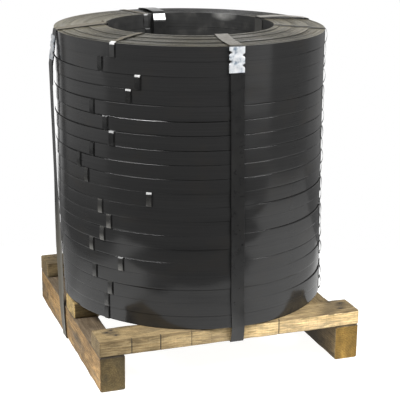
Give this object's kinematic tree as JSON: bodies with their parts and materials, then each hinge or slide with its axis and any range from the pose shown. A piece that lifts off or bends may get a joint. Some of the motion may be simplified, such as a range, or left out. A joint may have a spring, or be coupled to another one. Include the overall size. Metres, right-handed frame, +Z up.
{
  "type": "skid load of steel strapping coils",
  "caption": "Stack of ribbon-wound coils of black painted steel strapping round an open bore, tied down with wide straps and pressed seals to a low timber skid.",
  "frame": {"origin": "bottom centre of the whole load's box, on the floor under the skid", "axes": "+Z up along the coils' bore, +X along the deck boards, +Y along the stringers from the front board to the rear board"},
  "size_m": [0.678, 0.664, 0.7903],
  "materials": {
    "coil_black": "satin black paint on cold-rolled strap, bare grey-tan strap edges on the coil ends",
    "tie_steel": "satin dark paint with bright worn bends",
    "strap_black": "semi-gloss black paint",
    "seal_zinc": "bright zinc plate, crimped",
    "board_wood": "weathered rough-sawn pine",
    "stringer_wood": "weathered rough-sawn pine",
    "nail_steel": "dull steel nail heads"
  },
  "bodies": {
    "root": {"coil_01": "coil_black", "coil_02": "coil_black", "coil_03": "coil_black", "coil_04": "coil_black", "coil_05": "coil_black", "coil_06": "coil_black", "coil_07": "coil_black", "coil_08": "coil_black", "coil_09": "coil_black", "coil_10": "coil_black", "coil_11": "coil_black", "coil_12": "coil_black", "coil_13": "coil_black", "coil_14": "coil_black", "coil_15": "coil_black", "coil_16": "coil_black", "coil_17": "coil_black", "coil_18": "coil_black", "coil_19": "coil_black", "coil_20": "coil_black", "coil_ties_01": "tie_steel", "coil_ties_02": "tie_steel", "coil_ties_03": "tie_steel", "coil_ties_04": "tie_steel", "coil_ties_05": "tie_steel", "coil_ties_06": "tie_steel", "coil_ties_07": "tie_steel", "coil_ties_08": "tie_steel", "coil_ties_09": "tie_steel", "coil_ties_10": "tie_steel", "coil_ties_11": "tie_steel", "coil_ties_12": "tie_steel", "coil_ties_13": "tie_steel", "coil_ties_14": "tie_steel", "coil_ties_15": "tie_steel", "coil_ties_16": "tie_steel", "coil_ties_17": "tie_steel", "coil_ties_18": "tie_steel", "coil_ties_19": "tie_steel", "coil_ties_20": "tie_steel", "front_strap": "strap_black", "rear_strap": "strap_black", "left_strap": "strap_black", "right_strap": "strap_black", "front_seal": "seal_zinc", "rear_seal": "seal_zinc", "left_seal": "seal_zinc", "right_seal": "seal_zinc", "front_deck_board": "board_wood", "middle_deck_board": "board_wood", "rear_deck_board": "board_wood", "left_stringer": "stringer_wood", "right_stringer": "stringer_wood", "nails": "nail_steel"}
  },
  "joints": []
}
